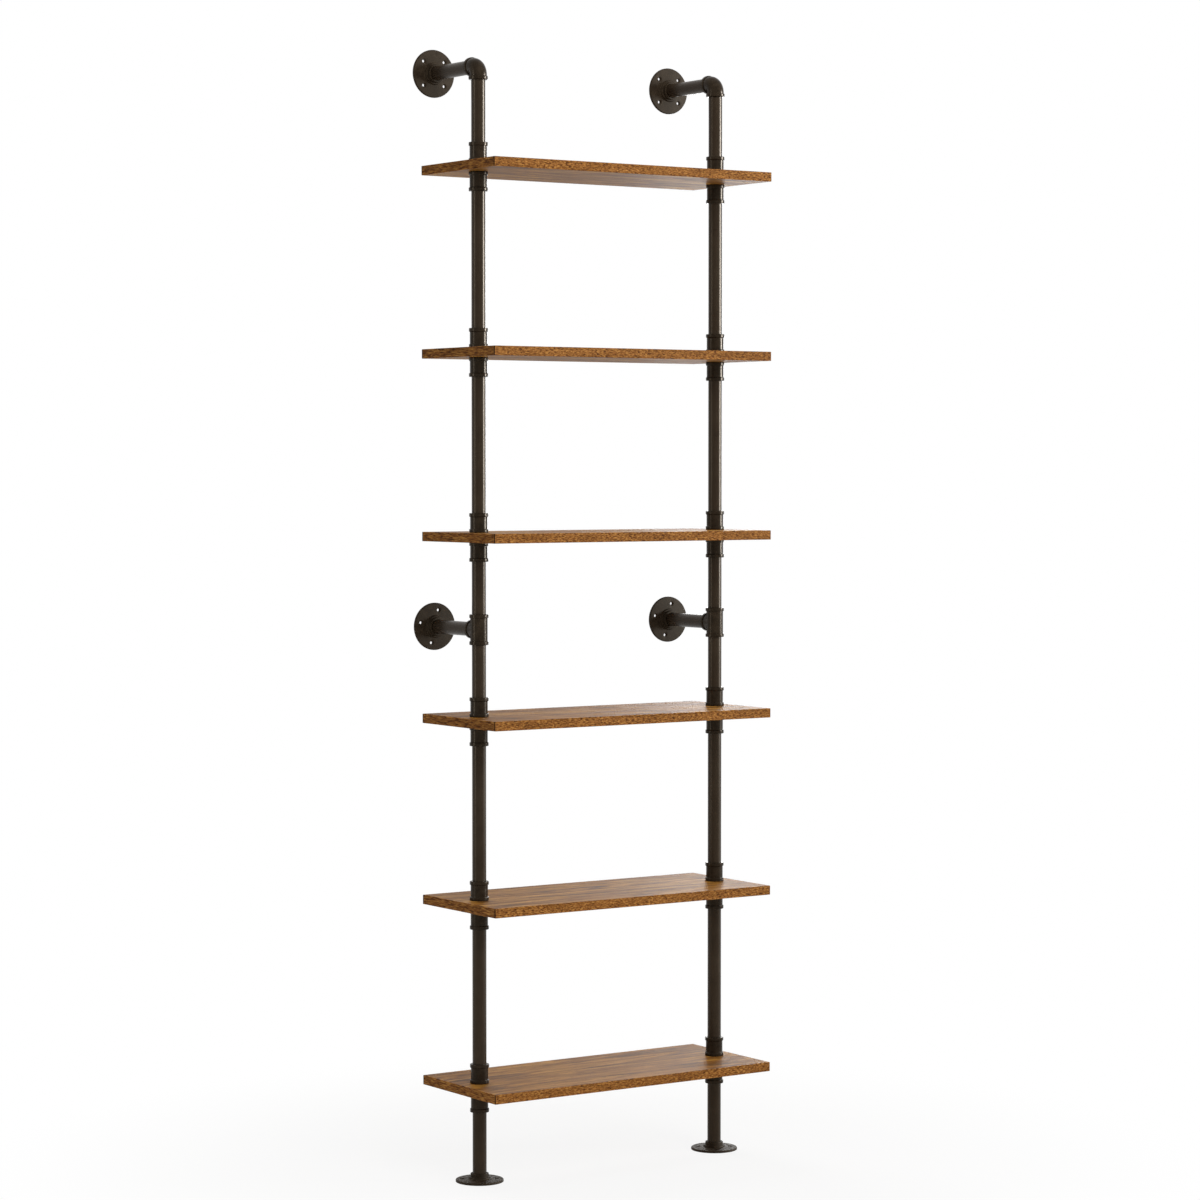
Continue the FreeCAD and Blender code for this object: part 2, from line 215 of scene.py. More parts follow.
def add(finish, kind, inputs=(), stops=(), **settings):
    """Adds a node with its settings, its input values or links, and its ramp's (place, colour) stops."""
    node = finish.node_tree.nodes.new(kind)
    for name, value in settings.items():
        setattr(node, name, value)
    for name, value in dict(inputs).items():
        if isinstance(value, bpy.types.NodeSocket):
            finish.node_tree.links.new(value, node.inputs[name])
        else:
            node.inputs[name].default_value = value
    for index, (position, colour) in enumerate(stops):
        elements = node.color_ramp.elements
        stop = elements[index] if index < len(elements) else elements.new(position)
        stop.position = position
        stop.color = colour
    return node


def painted_cast_iron(name, roughness):
    """Satin brown-black paint on cast iron: a pebbled skin with small glints and darker hollows.

    A sand-cast flange is duller than a smoothly cast fitting, so each gives its own range of roughness.
    """
    finish = new_finish(name)
    spot = add(finish, "ShaderNodeTexCoord").outputs["Object"]
    # Real sand grain is about half a millimetre; it is drawn coarser so that it shows.
    pebble = add(finish, "ShaderNodeTexNoise", {"Vector": spot, "Scale": 1 / CAST_PEBBLE, "Detail": 3.0,
                                                "Roughness": 0.6})
    mottle = add(finish, "ShaderNodeTexNoise", {"Vector": spot, "Scale": 1 / CAST_MOTTLE, "Detail": 4.0,
                                                "Roughness": 0.65})
    colour = add(finish, "ShaderNodeValToRGB", {"Fac": mottle.outputs["Fac"]},
                 [(0.36, linear(PAINT_HOLLOW)), (0.64, linear(PAINT_BROWN))])
    gloss = add(finish, "ShaderNodeMapRange", {"Value": pebble.outputs["Fac"], **NOISE_SPAN,
                                               "To Min": roughness[0], "To Max": roughness[1]})
    skin = add(finish, "ShaderNodeBump", {"Height": pebble.outputs["Fac"], **CAST_SKIN})
    shader = add(finish, "ShaderNodeBsdfPrincipled", {
        "Base Color": colour.outputs["Color"], "Roughness": gloss.outputs["Result"],
        "Specular IOR Level": CAST_SPECULAR, "Specular Tint": linear(PAINT_SHEEN),
        "Normal": skin.outputs["Normal"]})
    add(finish, "ShaderNodeOutputMaterial", {"Surface": shader.outputs["BSDF"]})
    return finish


sand_cast_iron = painted_cast_iron("painted sand-cast iron", FLANGE_ROUGHNESS)
flange = turned("flange", [
    (SOCKET_ROOT_RADIUS, 0), (FLANGE_RADIUS, 0), (FLANGE_RADIUS, RIM_HEIGHT),
    (HUB_FOOT_RADIUS, CROWN_HEIGHT), (HUB_FOOT_RADIUS, HUB_FOOT_TOP), (HUB_RADIUS, HUB_FOOT_TOP),
    (HUB_RADIUS, FLANGE_HEIGHT), (MOUTH_RADIUS, FLANGE_HEIGHT)]
    + thread(SOCKET_RADIUS, SOCKET_ROOT_RADIUS, FLANGE_HEIGHT - MOUTH_DEPTH, FLANGE_THREAD_END),
    rounds=[(FLANGE_RADIUS, RIM_HEIGHT, RIM_ROUND), (FLANGE_RADIUS, 0, BASE_ROUND),
            (HUB_FOOT_RADIUS, CROWN_HEIGHT, CROWN_FILLET), (HUB_FOOT_RADIUS, HUB_FOOT_TOP, HUB_FOOT_ROUND),
            (HUB_RADIUS, HUB_FOOT_TOP, HUB_FILLET), (HUB_RADIUS, FLANGE_HEIGHT, HUB_ROUND)],
    around=FLANGE_FACETS)
flange.data.materials.append(sand_cast_iron)
for screw in range(SCREW_COUNT):
    drill = turned("screw drill", [
        (SCREW_HOLE_RADIUS, -DRILL_BELOW),
        (SCREW_HOLE_RADIUS, SCREW_SINK_TOP - (SCREW_SINK_RADIUS - SCREW_HOLE_RADIUS)),
        (SCREW_SINK_RADIUS + DRILL_ABOVE, SCREW_SINK_TOP + DRILL_ABOVE)], solid=True, around=DRILL_FACETS)
    drill.data.materials.append(sand_cast_iron)
    drill.data.transform(Matrix.Rotation(screw * math.tau / SCREW_COUNT, 4, "Z")
                         @ Matrix.Translation((SCREW_CIRCLE_RADIUS, 0, 0)))
    combine(flange, drill, "DIFFERENCE")
for side in SIDES:
    low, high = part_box(f"floor_flange_{side}")
    place(flange, f"cast_floor_flange_{side}",
          Matrix.Translation(on_axis(low, high, low.z)) @ Matrix.Rotation(FLOOR_SCREW_TURN, 4, "Z"),
          f"floor_flange_{side}")


# Upright pipes: lengths of three-quarter-inch steel pipe, one from fitting to fitting in each bay.
# They are welded tube, threaded at both ends, screwed home in the fittings and sprayed brown-black.
pipe_low, pipe_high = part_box("foot_pipe_left")
PIPE_RADIUS = (pipe_high.x - pipe_low.x) / 2
PIPE_BORE_RADIUS = 10.55 * MM
PIPE_THREAD_RADIUS = 12.7 * MM
PIPE_THREAD_ROOT_RADIUS = 12.2 * MM
THREAD_REACH = 11 * MM
THREAD_RUN_OUT = 0.1 * MM
SHOULDER_ROUND = 0.3 * MM
PIPE_FACETS = 56
MICROMETRE_DIGITS = 6
UPRIGHT_PIPES = ("foot_pipe", "bay_pipe_1", "bay_pipe_2", "bay_pipe_3_lower", "bay_pipe_3_upper",
                 "bay_pipe_4", "bay_pipe_5", "head_pipe")
PIPE_BROWN = "#372d23"
PIPE_DARK = "#30261d"
ORANGE_PEEL = 5 * MM
PAINT_CLOUD = 45 * MM
PIPE_SKIN = {"Strength": 0.03, "Distance": 0.15 * MM}
PIPE_ROUGHNESS = (0.27, 0.31)
PIPE_SPECULAR = 0.14


def painted_steel_pipe():
    """Satin brown-black paint on smooth steel tube: a clean soft highlight, broken by faint orange peel."""
    finish = new_finish("painted steel pipe")
    spot = add(finish, "ShaderNodeTexCoord").outputs["Object"]
    # Sprayed paint ripples at one or two millimetres; it is drawn coarser so that it shows.
    ripple = add(finish, "ShaderNodeTexNoise", {"Vector": spot, "Scale": 1 / ORANGE_PEEL, "Detail": 2.0})
    cloud = add(finish, "ShaderNodeTexNoise", {"Vector": spot, "Scale": 1 / PAINT_CLOUD, "Detail": 3.0})
    colour = add(finish, "ShaderNodeValToRGB", {"Fac": cloud.outputs["Fac"]},
                 [(0.35, linear(PIPE_DARK)), (0.65, linear(PIPE_BROWN))])
    gloss = add(finish, "ShaderNodeMapRange", {"Value": cloud.outputs["Fac"], **NOISE_SPAN,
                                               "To Min": PIPE_ROUGHNESS[0], "To Max": PIPE_ROUGHNESS[1]})
    skin = add(finish, "ShaderNodeBump", {"Height": ripple.outputs["Fac"], **PIPE_SKIN})
    shader = add(finish, "ShaderNodeBsdfPrincipled", {
        "Base Color": colour.outputs["Color"], "Roughness": gloss.outputs["Result"],
        "Specular IOR Level": PIPE_SPECULAR, "Specular Tint": linear(PAINT_SHEEN),
        "Normal": skin.outputs["Normal"]})
    add(finish, "ShaderNodeOutputMaterial", {"Surface": shader.outputs["BSDF"]})
    return finish


def pipe(length):
    """One pipe along Z, both ends threaded."""
    shoulders = (THREAD_REACH, length - THREAD_REACH)
    root, crest = PIPE_THREAD_ROOT_RADIUS, PIPE_THREAD_RADIUS
    piece = turned("pipe", [(PIPE_BORE_RADIUS, 0)]
                   + thread(root, crest, 0, shoulders[0] - THREAD_RUN_OUT)
                   + [(PIPE_RADIUS, shoulder) for shoulder in shoulders]
                   + thread(root, crest, shoulders[1] + THREAD_RUN_OUT, length)
                   + [(PIPE_BORE_RADIUS, length)],
                   rounds=[(PIPE_RADIUS, shoulder, SHOULDER_ROUND) for shoulder in shoulders],
                   around=PIPE_FACETS)
    piece.data.materials.append(steel_pipe)
    return piece


steel_pipe = painted_steel_pipe()
cut_lengths = {}
for name in UPRIGHT_PIPES:
    for side in SIDES:
        low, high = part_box(f"{name}_{side}")
        length = round(high.z - low.z, MICROMETRE_DIGITS)
        if length not in cut_lengths:
            cut_lengths[length] = pipe(length)
        place(cut_lengths[length], f"steel_{name}_{side}", Matrix.Translation(on_axis(low, high, low.z)),
              f"{name}_{side}")
for pattern in cut_lengths.values():
    bpy.data.objects.remove(pattern)


# Couplings: short banded sleeves of malleable cast iron, one above and one below every board on each
# upright. A threaded nipple through the board's hole draws the pair together, so they clamp the board.
# The nipples are bare cut steel, out of sight.
BOARD_COUNT = 6
pair_low, pair_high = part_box("couplings_1_left")
board_low, board_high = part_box("shelf_board_1")
BOARD_THICKNESS = board_high.z - board_low.z
COUPLING_LENGTH = (pair_high.z - pair_low.z - BOARD_THICKNESS) / 2
BEAD_RADIUS = (pair_high.x - pair_low.x) / 2
BEAD_HEIGHT = 7.0 * MM
UPPER_BEAD = COUPLING_LENGTH - BEAD_HEIGHT
BEAD_ROUND = 1.2 * MM
BODY_RADIUS = 16.5 * MM
BODY_FILLET = 0.4 * MM
COUPLING_THREAD_GAP = 0.2 * MM
FITTING_ROUGHNESS = (0.22, 0.3)
STEEL_PALE = "#8d8a86"
STEEL_DULL = "#6b6864"
TURNING_MARK = 1.2 * MM
MARK_SWEEP = 1 / 30
STEEL_SKIN = {"Strength": 0.4, "Distance": 0.2 * MM}
STEEL_ROUGHNESS = 0.38


def cut_steel():
    """Bare steel with a cut thread: dull grey, with fine turning marks round it."""
    finish = new_finish("cut steel")
    spot = add(finish, "ShaderNodeTexCoord").outputs["Object"]
    # Real turning marks are a fifth of a millimetre apart; they are drawn coarser so that they show.
    mark_spot = add(finish, "ShaderNodeMapping", {
        "Vector": spot, "Scale": (1 / MARK_SWEEP, 1 / MARK_SWEEP, 1 / TURNING_MARK)})
    marks = add(finish, "ShaderNodeTexNoise", {"Vector": mark_spot.outputs["Vector"], "Scale": 1.0,
                                               "Detail": 2.0})
    colour = add(finish, "ShaderNodeValToRGB", {"Fac": marks.outputs["Fac"]},
                 [(0.3, linear(STEEL_DULL)), (0.7, linear(STEEL_PALE))])
    skin = add(finish, "ShaderNodeBump", {"Height": marks.outputs["Fac"], **STEEL_SKIN})
    shader = add(finish, "ShaderNodeBsdfPrincipled", {
        "Base Color": colour.outputs["Color"], "Metallic": 1.0, "Roughness": STEEL_ROUGHNESS,
        "Normal": skin.outputs["Normal"]})
    add(finish, "ShaderNodeOutputMaterial", {"Surface": shader.outputs["BSDF"]})
    return finish


malleable_iron = painted_cast_iron("painted malleable iron", FITTING_ROUGHNESS)
coupling = turned("coupling", [
    (SOCKET_RADIUS, MOUTH_DEPTH), (MOUTH_RADIUS, 0), (BEAD_RADIUS, 0), (BEAD_RADIUS, BEAD_HEIGHT),
    (BODY_RADIUS, BEAD_HEIGHT), (BODY_RADIUS, UPPER_BEAD), (BEAD_RADIUS, UPPER_BEAD),
    (BEAD_RADIUS, COUPLING_LENGTH), (MOUTH_RADIUS, COUPLING_LENGTH)]
    + thread(SOCKET_RADIUS, SOCKET_ROOT_RADIUS, COUPLING_LENGTH - MOUTH_DEPTH,
             MOUTH_DEPTH + COUPLING_THREAD_GAP),
    rounds=[(BEAD_RADIUS, 0, BEAD_ROUND), (BEAD_RADIUS, COUPLING_LENGTH, BEAD_ROUND),
            (BEAD_RADIUS, BEAD_HEIGHT, BEAD_ROUND), (BEAD_RADIUS, UPPER_BEAD, BEAD_ROUND),
            (BODY_RADIUS, BEAD_HEIGHT, BODY_FILLET), (BODY_RADIUS, UPPER_BEAD, BODY_FILLET)])
coupling.data.materials.append(malleable_iron)
thread_steel = cut_steel()
for number in range(1, BOARD_COUNT + 1):
    for side in SIDES:
        low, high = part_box(f"couplings_{number}_{side}")
        for level, height in (("below", low.z), ("above", high.z - COUPLING_LENGTH)):
            place(coupling, f"banded_coupling_{number}_{side}_{level}",
                  Matrix.Translation(on_axis(low, high, height)), f"couplings_{number}_{side}")
    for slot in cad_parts[f"board_nipples_{number}"].material_slots:
        slot.material = thread_steel
bpy.data.objects.remove(coupling)


# Shelf boards: particle board faced with a brown wood-print melamine film, grain along the board.
# The four edges are covered with a printed band about a millimetre thick, trimmed flush and eased, and
# a hole for the nipple is bored near each end.
BOARD_EASE = 0.8 * MM
BAND_THICKNESS = 1.0 * MM
BAND_JOINT = 0.25 * MM
BORE_RADIUS = 13.3 * MM
LEVEL_NORMAL = 0.99
BOARD_BROWN = "#9a6829"
BOARD_DARK = "#523214"
BOARD_LIGHT = "#c79446"
LINE_SHADE = "#ada295"
PORE_BROWN = "#3a220e"
BAND_BROWN = "#96602e"
BAND_DARK = "#4a2b14"
BAND_LIGHT = "#c68f4a"
BAND_SHADE = "#cec8bf"
BAND_CUT = "#2a170a"
CORE_TAN = "#b08a5c"
CORE_DARK = "#6f5232"
WHITE = "#ffffff"
FLAME_LENGTH = 260 * MM
FLAME_WIDTH = 34 * MM
STREAK_LENGTH = 90 * MM
STREAK_WIDTH = 5 * MM
PORE_LENGTH = 16 * MM
PORE_WIDTH = 1.6 * MM
PORE_SPAN = {"From Min": 0.58, "From Max": 0.68, "To Min": 0.0, "To Max": 0.8}
LINE_SHARE = 0.8
LAMINATE_SKIN = {"Strength": 0.12, "Distance": 0.1 * MM}
LAMINATE_ROUGHNESS = (0.54, 0.46)
LAMINATE_SPECULAR = 0.05
FLECK_ON_FRONT = 6.5 * MM
FLECK_ON_END = 18 * MM
FLECK_WIDTH = 1.8 * MM
TONE_LENGTH = 60 * MM
TONE_WIDTH = 9 * MM
TONE_SHARE = 0.7
BAND_SKIN = {"Strength": 0.15, "Distance": 0.12 * MM}
BAND_ROUGHNESS = (0.5, 0.4)
BAND_SPECULAR = 0.02
CUT_LINE_DEPTH = (0.6 * MM, 0.3 * MM)
CUT_LINE_WIDTH = (3.2 * MM, 2.6 * MM)
CORE_CHIP = 2.5 * MM
CORE_SKIN = {"Strength": 0.5, "Distance": 0.4 * MM}
CORE_ROUGHNESS = 0.85


def printed_laminate():
    """Wood-print melamine: brown flame figure with dark pores under a hard, smooth, satin film."""
    finish = new_finish("wood-print melamine")
    spot = add(finish, "ShaderNodeTexCoord").outputs["Object"]
    # The flame figure: tongues a hand long and a finger wide.
    figure_spot = add(finish, "ShaderNodeMapping", {
        "Vector": spot, "Scale": (1 / FLAME_LENGTH, 1 / FLAME_WIDTH, 1 / FLAME_WIDTH)})
    figure = add(finish, "ShaderNodeTexNoise", {"Vector": figure_spot.outputs["Vector"], "Scale": 1.0,
                                                "Detail": 5.0, "Roughness": 0.58, "Distortion": 1.6})
    # The growth lines in it: streaks a few millimetres wide.
    streak_spot = add(finish, "ShaderNodeMapping", {
        "Vector": spot, "Scale": (1 / STREAK_LENGTH, 1 / STREAK_WIDTH, 1 / STREAK_WIDTH)})
    streak = add(finish, "ShaderNodeTexNoise", {"Vector": streak_spot.outputs["Vector"], "Scale": 1.0,
                                                "Detail": 8.0, "Roughness": 0.68, "Distortion": 0.4})
    # The pores: printed dashes; real ones are a third of a millimetre wide and are drawn coarser.
    pore_spot = add(finish, "ShaderNodeMapping", {
        "Vector": spot, "Scale": (1 / PORE_LENGTH, 1 / PORE_WIDTH, 1 / PORE_WIDTH)})
    pore = add(finish, "ShaderNodeTexNoise", {"Vector": pore_spot.outputs["Vector"], "Scale": 1.0,
                                              "Detail": 2.0})
    flame = add(finish, "ShaderNodeValToRGB", {"Fac": figure.outputs["Fac"]},
                [(0.32, linear(BOARD_DARK)), (0.5, linear(BOARD_BROWN)), (0.68, linear(BOARD_LIGHT))])
    lines = add(finish, "ShaderNodeValToRGB", {"Fac": streak.outputs["Fac"]},
                [(0.34, linear(LINE_SHADE)), (0.6, linear(WHITE))])
    lined = add(finish, "ShaderNodeMixRGB", {"Fac": LINE_SHARE, "Color1": flame.outputs["Color"],
                                             "Color2": lines.outputs["Color"]}, blend_type="MULTIPLY")
    dashes = add(finish, "ShaderNodeMapRange", {"Value": pore.outputs["Fac"], **PORE_SPAN})
    colour = add(finish, "ShaderNodeMixRGB", {
        "Fac": dashes.outputs["Result"], "Color1": lined.outputs["Color"], "Color2": linear(PORE_BROWN)})
    gloss = add(finish, "ShaderNodeMapRange", {
        "Value": streak.outputs["Fac"], **NOISE_SPAN,
        "To Min": LAMINATE_ROUGHNESS[0], "To Max": LAMINATE_ROUGHNESS[1]})
    skin = add(finish, "ShaderNodeBump", {"Height": streak.outputs["Fac"], **LAMINATE_SKIN})
    shader = add(finish, "ShaderNodeBsdfPrincipled", {
        "Base Color": colour.outputs["Color"], "Roughness": gloss.outputs["Result"],
        "Specular IOR Level": LAMINATE_SPECULAR, "Normal": skin.outputs["Normal"]})
    add(finish, "ShaderNodeOutputMaterial", {"Surface": shader.outputs["BSDF"]})
    return finish


def printed_edge_band(centre, half_length, half_depth):
    """Printed edge band: warmer and lighter than the faces, flecked with short dark dashes along the edge.

    On the board's ends a dark line shows beside the upright corners, where the long strips' cut ends are.
    """
    finish = new_finish("printed edge band")
    spot = add(finish, "ShaderNodeTexCoord").outputs["Object"]
    # The dashes: short on the long edges, drawn out on the ends, and nearly two millimetres wide.
    fleck_spot = add(finish, "ShaderNodeMapping", {
        "Vector": spot, "Scale": (1 / FLECK_ON_FRONT, 1 / FLECK_ON_END, 1 / FLECK_WIDTH)})
    fleck = add(finish, "ShaderNodeTexNoise", {"Vector": fleck_spot.outputs["Vector"], "Scale": 1.0,
                                               "Detail": 3.0, "Roughness": 0.6, "Distortion": 0.6})
    # The slower change of tone along the strip.
    tone_spot = add(finish, "ShaderNodeMapping", {
        "Vector": spot, "Scale": (1 / TONE_LENGTH, 1 / TONE_LENGTH, 1 / TONE_WIDTH)})
    tone = add(finish, "ShaderNodeTexNoise", {"Vector": tone_spot.outputs["Vector"], "Scale": 1.0,
                                              "Detail": 3.0})
    flecks = add(finish, "ShaderNodeValToRGB", {"Fac": fleck.outputs["Fac"]},
                 [(0.36, linear(BAND_DARK)), (0.5, linear(BAND_BROWN)), (0.66, linear(BAND_LIGHT))])
    tones = add(finish, "ShaderNodeValToRGB", {"Fac": tone.outputs["Fac"]},
                [(0.3, linear(BAND_SHADE)), (0.62, linear(WHITE))])
    strip = add(finish, "ShaderNodeMixRGB", {"Fac": TONE_SHARE, "Color1": flecks.outputs["Color"],
                                             "Color2": tones.outputs["Color"]}, blend_type="MULTIPLY")
    # The strips' cut ends, told by how far in from the board's outside a spot is, along and across.
    middle = add(finish, "ShaderNodeMapping", {"Vector": spot, "Location": (-centre.x, -centre.y, 0)})
    axes = add(finish, "ShaderNodeSeparateXYZ", {"Vector": middle.outputs["Vector"]})
    near = []
    for axis, half, (start, full) in (("X", half_length, CUT_LINE_DEPTH), ("Y", half_depth, CUT_LINE_WIDTH)):
        distance = add(finish, "ShaderNodeMath", {0: axes.outputs[axis]}, operation="ABSOLUTE")
        near.append(add(finish, "ShaderNodeMapRange", {
            "Value": distance.outputs["Value"], "From Min": half - start, "From Max": half - full}
            ).outputs["Result"])
    corner = add(finish, "ShaderNodeMath", {0: near[0], 1: near[1]}, operation="MULTIPLY")
    colour = add(finish, "ShaderNodeMixRGB", {
        "Fac": corner.outputs["Value"], "Color1": strip.outputs["Color"], "Color2": linear(BAND_CUT)})
    gloss = add(finish, "ShaderNodeMapRange", {"Value": fleck.outputs["Fac"], **NOISE_SPAN,
                                               "To Min": BAND_ROUGHNESS[0], "To Max": BAND_ROUGHNESS[1]})
    skin = add(finish, "ShaderNodeBump", {"Height": fleck.outputs["Fac"], **BAND_SKIN})
    shader = add(finish, "ShaderNodeBsdfPrincipled", {
        "Base Color": colour.outputs["Color"], "Roughness": gloss.outputs["Result"],
        "Specular IOR Level": BAND_SPECULAR, "Normal": skin.outputs["Normal"]})
    add(finish, "ShaderNodeOutputMaterial", {"Surface": shader.outputs["BSDF"]})
    return finish


def particle_board():
    """Cut particle board in the bored holes: pressed tan chips, matt and rough."""
    finish = new_finish("particle board")
    spot = add(finish, "ShaderNodeTexCoord").outputs["Object"]
    chip = add(finish, "ShaderNodeTexVoronoi", {"Vector": spot, "Scale": 1 / CORE_CHIP})
    colour = add(finish, "ShaderNodeValToRGB", {"Fac": chip.outputs["Distance"]},
                 [(0.1, linear(CORE_TAN)), (0.8, linear(CORE_DARK))])
    skin = add(finish, "ShaderNodeBump", {"Height": chip.outputs["Distance"], **CORE_SKIN})
    shader = add(finish, "ShaderNodeBsdfPrincipled", {
        "Base Color": colour.outputs["Color"], "Roughness": CORE_ROUGHNESS, "Normal": skin.outputs["Normal"]})
    add(finish, "ShaderNodeOutputMaterial", {"Surface": shader.outputs["BSDF"]})
    return finish


def choose_faces(piece, test):
    """Selects just the faces that pass the test."""
    bpy.ops.mesh.select_all(action="DESELECT")
    bpy.ops.mesh.select_mode(type="FACE")
    mesh = bmesh.from_edit_mesh(piece.data)
    for face in mesh.faces:
        face.select_set(test(face))
    bmesh.update_edit_mesh(piece.data)


board_size = board_high - board_low
board_middle = (board_low + board_high) / 2
half_face = board_size.x * board_size.y / 2
board = begin("board", bpy.ops.mesh.primitive_cube_add, size=1, location=(0, 0, 0))
bpy.ops.transform.resize(value=board_size, center_override=(0, 0, 0))
bpy.ops.transform.translate(value=board_middle)
board.data.materials.append(printed_laminate())
board.data.materials.append(printed_edge_band(board_middle, board_size.x / 2, board_size.y / 2))
core = particle_board()
board.data.materials.append(core)
bpy.ops.mesh.bevel(offset=BOARD_EASE, segments=ROUND_STEPS, affect="EDGES")
bpy.ops.mesh.select_all(action="SELECT")
board.active_material_index = 1
bpy.ops.object.material_slot_assign()
choose_faces(board, lambda face: abs(face.normal.z) > LEVEL_NORMAL and face.calc_area() > half_face)
bpy.ops.mesh.inset(thickness=BAND_THICKNESS, depth=0)
bpy.ops.mesh.inset(thickness=BAND_JOINT, depth=-BAND_JOINT / 2)
bpy.ops.mesh.inset(thickness=BAND_JOINT, depth=BAND_JOINT / 2)
board.active_material_index = 0
bpy.ops.object.material_slot_assign()
end(board)
for side in SIDES:
    low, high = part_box(f"couplings_1_{side}")
    bore = begin("board bore", bpy.ops.mesh.primitive_cylinder_add, vertices=FACETS, radius=BORE_RADIUS,
                 depth=2 * BOARD_THICKNESS, location=on_axis(low, high, board_middle.z))
    end(bore)
    bore.data.materials.append(core)
    combine(board, bore, "DIFFERENCE")
for number in range(1, BOARD_COUNT + 1):
    low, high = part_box(f"shelf_board_{number}")
    place(board, f"banded_board_{number}", Matrix.Translation((0, 0, low.z - board_low.z)),
          f"shelf_board_{number}")
bpy.data.objects.remove(board)


# Tees: cast-iron branch fittings half way up, in the bay between the third and fourth boards.
# Each has a banded mouth above, below and at the back, and the middle wall arm screws into the back one.
tee_low, tee_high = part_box("tee_left")
TEE_RUN = tee_high.z - tee_low.z
TEE_REACH = tee_high.y - (tee_low.y + BEAD_RADIUS)
CROTCH_ROUND = 1.6 * MM
CROTCH_START = BODY_RADIUS / 3
CROTCH_TOLERANCE = 0.05 * MM
FACET_TOLERANCE = 0.1 * MM
SOCKET_DEPTH = 12.5 * MM
SOCKET_FACETS = 56
TOOL_ABOVE = 1 * MM
QUARTER_TURN = math.radians(90)
TO_BACK = Matrix.Rotation(-QUARTER_TURN, 4, "X")
UPSIDE_DOWN = Matrix.Rotation(math.pi, 4, "X")


def banded_stub(name, start, stop, ends):
    """A solid round bar along Z with a rounded bead at each of the named ends."""
    rings = [(BODY_RADIUS, start), (BODY_RADIUS, stop)]
    rounds = []
    if "low" in ends:
        shoulder = start + BEAD_HEIGHT
        rings[:1] = [(BEAD_RADIUS, start), (BEAD_RADIUS, shoulder), (BODY_RADIUS, shoulder)]
        rounds += [(BEAD_RADIUS, start, BEAD_ROUND), (BEAD_RADIUS, shoulder, BEAD_ROUND)]
    if "high" in ends:
        shoulder = stop - BEAD_HEIGHT
        rings[-1:] = [(BODY_RADIUS, shoulder), (BEAD_RADIUS, shoulder), (BEAD_RADIUS, stop)]
        rounds += [(BEAD_RADIUS, stop, BEAD_ROUND), (BEAD_RADIUS, shoulder, BEAD_ROUND)]
    stub = turned(name, rings, rounds=rounds, solid=True)
    stub.data.materials.append(malleable_iron)
    return stub


def socket_tool(mouth, depth):
    """A solid tool for one socket: a chamfered mouth at Z = mouth, drawn down to a depth."""
    tool = turned("socket tool", [
        (MOUTH_RADIUS + TOOL_ABOVE, mouth + TOOL_ABOVE), (MOUTH_RADIUS, mouth),
        (SOCKET_RADIUS, mouth - MOUTH_DEPTH), (SOCKET_RADIUS, mouth - depth)],
        solid=True, around=SOCKET_FACETS)
    tool.data.materials.append(malleable_iron)
    return tool


tee = banded_stub("tee", -TEE_RUN / 2, TEE_RUN / 2, ("low", "high"))
branch = banded_stub("tee branch", 0, TEE_REACH, ("high",))
branch.data.transform(TO_BACK)
combine(tee, branch, "UNION")
bpy.ops.object.mode_set(mode="EDIT")
choose_edges(tee, lambda co: abs(co.y - abs(co.z)) < CROTCH_TOLERANCE
             and abs(co.xy.length - BODY_RADIUS) < FACET_TOLERANCE and co.y > CROTCH_START)
bpy.ops.mesh.bevel(offset=CROTCH_ROUND, segments=ROUND_STEPS, affect="EDGES")
end(tee)
for turn, mouth in ((Matrix.Identity(4), TEE_RUN / 2), (UPSIDE_DOWN, TEE_RUN / 2), (TO_BACK, TEE_REACH)):
    tool = socket_tool(mouth, SOCKET_DEPTH)
    tool.data.transform(turn)
    combine(tee, tool, "DIFFERENCE")
for side in SIDES:
    low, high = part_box(f"tee_{side}")
    centre = Vector(((low.x + high.x) / 2, low.y + BEAD_RADIUS, (low.z + high.z) / 2))
    place(tee, f"cast_tee_{side}", Matrix.Translation(centre), f"tee_{side}")
bpy.data.objects.remove(tee)


# Elbows: cast-iron right-angle bends at the top of the uprights, with a banded mouth at each end.
# The head pipe screws in from below and the upper wall arm from behind.
elbow_low, elbow_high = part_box("elbow_left")
ELBOW_REACH = elbow_high.y - (elbow_low.y + BEAD_RADIUS)
ELBOW_BEAD = ELBOW_REACH - BEAD_HEIGHT
ELBOW_MOUTHS = (Vector((0, 0, -1)), Vector((0, 1, 0)))
BEND_RADIUS = BODY_RADIUS + 1.0 * MM
BEND_STEPS = 20
BEND_CENTRE = (0, BEND_RADIUS, -BEND_RADIUS)


def choose_ring(piece, centre, along, radius):
    """Selects the edges of one ring, by its plane and radius."""
    choose_edges(piece, lambda co: abs((co - centre).dot(along)) < RING_TOLERANCE
                 and abs((co - centre).length - radius) < RING_TOLERANCE)


